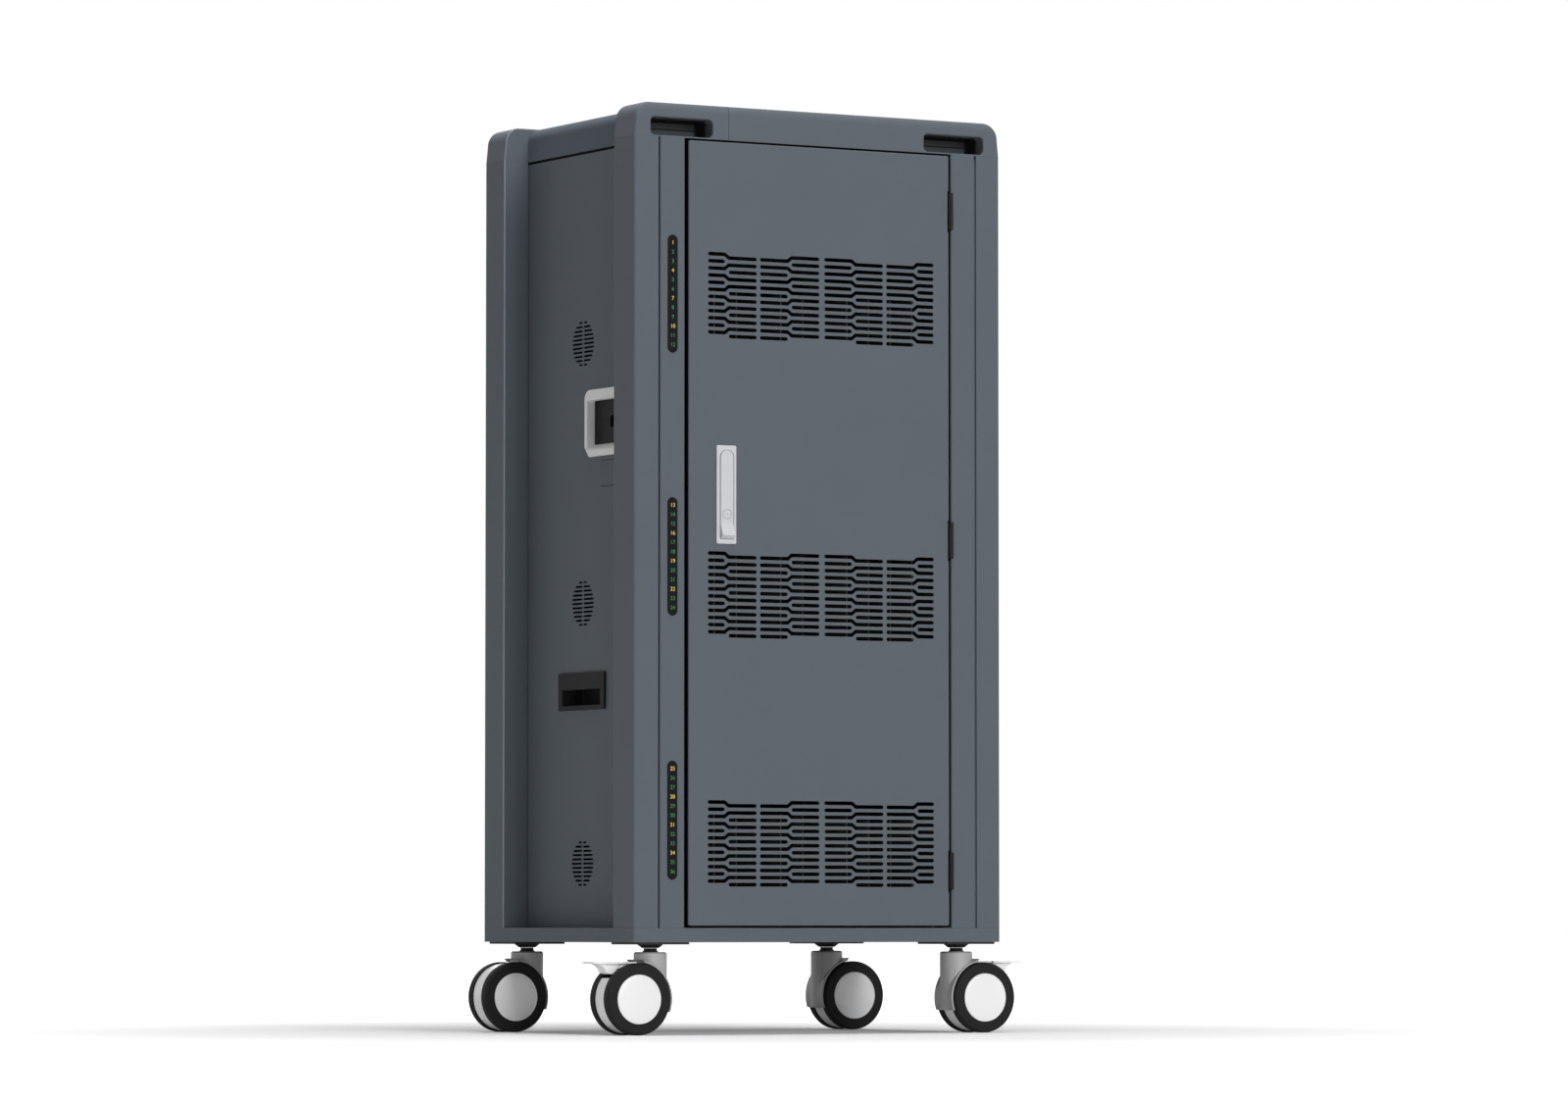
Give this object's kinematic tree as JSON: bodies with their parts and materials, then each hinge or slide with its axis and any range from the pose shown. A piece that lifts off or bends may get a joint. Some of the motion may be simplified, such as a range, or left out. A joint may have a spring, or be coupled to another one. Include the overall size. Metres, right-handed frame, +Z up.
{
  "type": "laptop charging cart",
  "caption": "Upright steel cabinet on swivel casters, with a vented lockable door, numbered indicator strips and racks of upright bays that store and charge laptops.",
  "frame": {"origin": "on the floor under the middle of the whole cart, casters, pedals and lock handle included", "axes": "+Z up, the door faces -Y, the lock and the indicator strips are on the -X side of the door"},
  "size_m": [0.6948, 0.4626, 1.3],
  "materials": {
    "slate_paint": "satin",
    "slate_plastic": "satin",
    "black_plastic": "matte",
    "silver_paint": "satin",
    "silver_plastic": "satin",
    "satin_metal": "satin",
    "steel": "brushed",
    "black_steel": "satin",
    "rubber": "matte",
    "grey_paint": "matte",
    "grey_plastic": "matte"
  },
  "bodies": {
    "cabinet": {"base_pan": "slate_paint", "post_front_left": "slate_paint", "post_front_right": "slate_paint", "post_rear_left": "slate_paint", "post_rear_right": "slate_paint", "stile_left": "slate_paint", "side_panel_left": "slate_paint", "lift_handle_left": "black_plastic", "header_left": "slate_plastic", "stile_right": "slate_paint", "side_panel_right": "slate_paint", "lift_handle_right": "black_plastic", "header_right": "slate_plastic", "header_rear": "slate_plastic", "roof_panel": "slate_paint", "rear_panel": "slate_paint", "hinge_1_frame_half": "black_steel", "indicator_strip_tier_1": "black_plastic", "divider_rack_tier_1": "grey_plastic", "hinge_2_frame_half": "black_steel", "indicator_strip_tier_2": "black_plastic", "divider_rack_tier_2": "grey_plastic", "shelf_tier_2": "grey_paint", "hinge_3_frame_half": "black_steel", "indicator_strip_tier_3": "black_plastic", "divider_rack_tier_3": "grey_plastic", "shelf_tier_3": "grey_paint", "power_strip": "black_plastic", "side_bezel": "silver_plastic", "power_inlet": "black_plastic", "caster_front_left_plate": "steel", "caster_front_right_plate": "steel", "caster_rear_left_plate": "steel", "caster_rear_right_plate": "steel"},
    "door": {"front_door": "slate_paint", "lock_plate": "silver_paint", "hinge_1_door_half": "black_steel", "hinge_2_door_half": "black_steel", "hinge_3_door_half": "black_steel"},
    "lock_spindle": {"lock_spindle": "steel"},
    "lock_handle": {"lock_handle": "silver_paint"},
    "lock_key": {"lock_cylinder": "steel"},
    "caster_front_left": {"caster_front_left_fork": "satin_metal"},
    "wheels_front_left": {"caster_front_left_hubs": "satin_metal", "caster_front_left_tyre_front": "rubber", "caster_front_left_tyre_rear": "rubber"},
    "brake_front_left": {"caster_front_left_pedal": "satin_metal"},
    "caster_front_right": {"caster_front_right_fork": "satin_metal"},
    "wheels_front_right": {"caster_front_right_hubs": "satin_metal", "caster_front_right_tyre_front": "rubber", "caster_front_right_tyre_rear": "rubber"},
    "brake_front_right": {"caster_front_right_pedal": "satin_metal"},
    "caster_rear_left": {"caster_rear_left_fork": "satin_metal"},
    "wheels_rear_left": {"caster_rear_left_hubs": "satin_metal", "caster_rear_left_tyre_front": "rubber", "caster_rear_left_tyre_rear": "rubber"},
    "caster_rear_right": {"caster_rear_right_fork": "satin_metal"},
    "wheels_rear_right": {"caster_rear_right_hubs": "satin_metal", "caster_rear_right_tyre_front": "rubber", "caster_rear_right_tyre_rear": "rubber"}
  },
  "joints": [
    {"name": "door_swing", "type": "hinge", "parent": "cabinet", "child": "door", "pos_m": [0.2145, -0.22215, 0.6995], "axis": [0, 0, 1], "range_deg": [0, 170]},
    {"name": "lock_turn", "type": "hinge", "parent": "door", "child": "lock_spindle", "pos_m": [-0.1529, -0.22355, 0.80575], "axis": [0, -1, 0], "range_deg": [0, 90]},
    {"name": "handle_lift", "type": "hinge", "parent": "lock_spindle", "child": "lock_handle", "pos_m": [-0.1529, -0.22385, 0.816], "axis": [-1, 0, 0], "range_deg": [0, 40]},
    {"name": "key_turn", "type": "hinge", "parent": "lock_handle", "child": "lock_key", "pos_m": [-0.1529, -0.22665, 0.7265], "axis": [0, -1, 0], "range_deg": [0, 90]},
    {"name": "swivel_front_left", "type": "hinge", "parent": "cabinet", "child": "caster_front_left", "pos_m": [-0.249, -0.17775, 0.121], "axis": [0, 0, 1], "continuous": true},
    {"name": "roll_front_left", "type": "hinge", "parent": "caster_front_left", "child": "wheels_front_left", "pos_m": [-0.281, -0.17775, 0.05], "axis": [0, 1, 0], "continuous": true},
    {"name": "brake_front_left_press", "type": "hinge", "parent": "caster_front_left", "child": "brake_front_left", "pos_m": [-0.289, -0.17775, 0.095], "axis": [0, -1, 0], "range_deg": [0, 10]},
    {"name": "swivel_front_right", "type": "hinge", "parent": "cabinet", "child": "caster_front_right", "pos_m": [0.249, -0.17775, 0.121], "axis": [0, 0, 1], "continuous": true},
    {"name": "roll_front_right", "type": "hinge", "parent": "caster_front_right", "child": "wheels_front_right", "pos_m": [0.281, -0.17775, 0.05], "axis": [0, 1, 0], "continuous": true},
    {"name": "brake_front_right_press", "type": "hinge", "parent": "caster_front_right", "child": "brake_front_right", "pos_m": [0.289, -0.17775, 0.095], "axis": [0, 1, 0], "range_deg": [0, 10]},
    {"name": "swivel_rear_left", "type": "hinge", "parent": "cabinet", "child": "caster_rear_left", "pos_m": [-0.249, 0.19025, 0.121], "axis": [0, 0, 1], "continuous": true},
    {"name": "roll_rear_left", "type": "hinge", "parent": "caster_rear_left", "child": "wheels_rear_left", "pos_m": [-0.281, 0.19025, 0.05], "axis": [0, 1, 0], "continuous": true},
    {"name": "swivel_rear_right", "type": "hinge", "parent": "cabinet", "child": "caster_rear_right", "pos_m": [0.249, 0.19025, 0.121], "axis": [0, 0, 1], "continuous": true},
    {"name": "roll_rear_right", "type": "hinge", "parent": "caster_rear_right", "child": "wheels_rear_right", "pos_m": [0.281, 0.19025, 0.05], "axis": [0, 1, 0], "continuous": true}
  ]
}
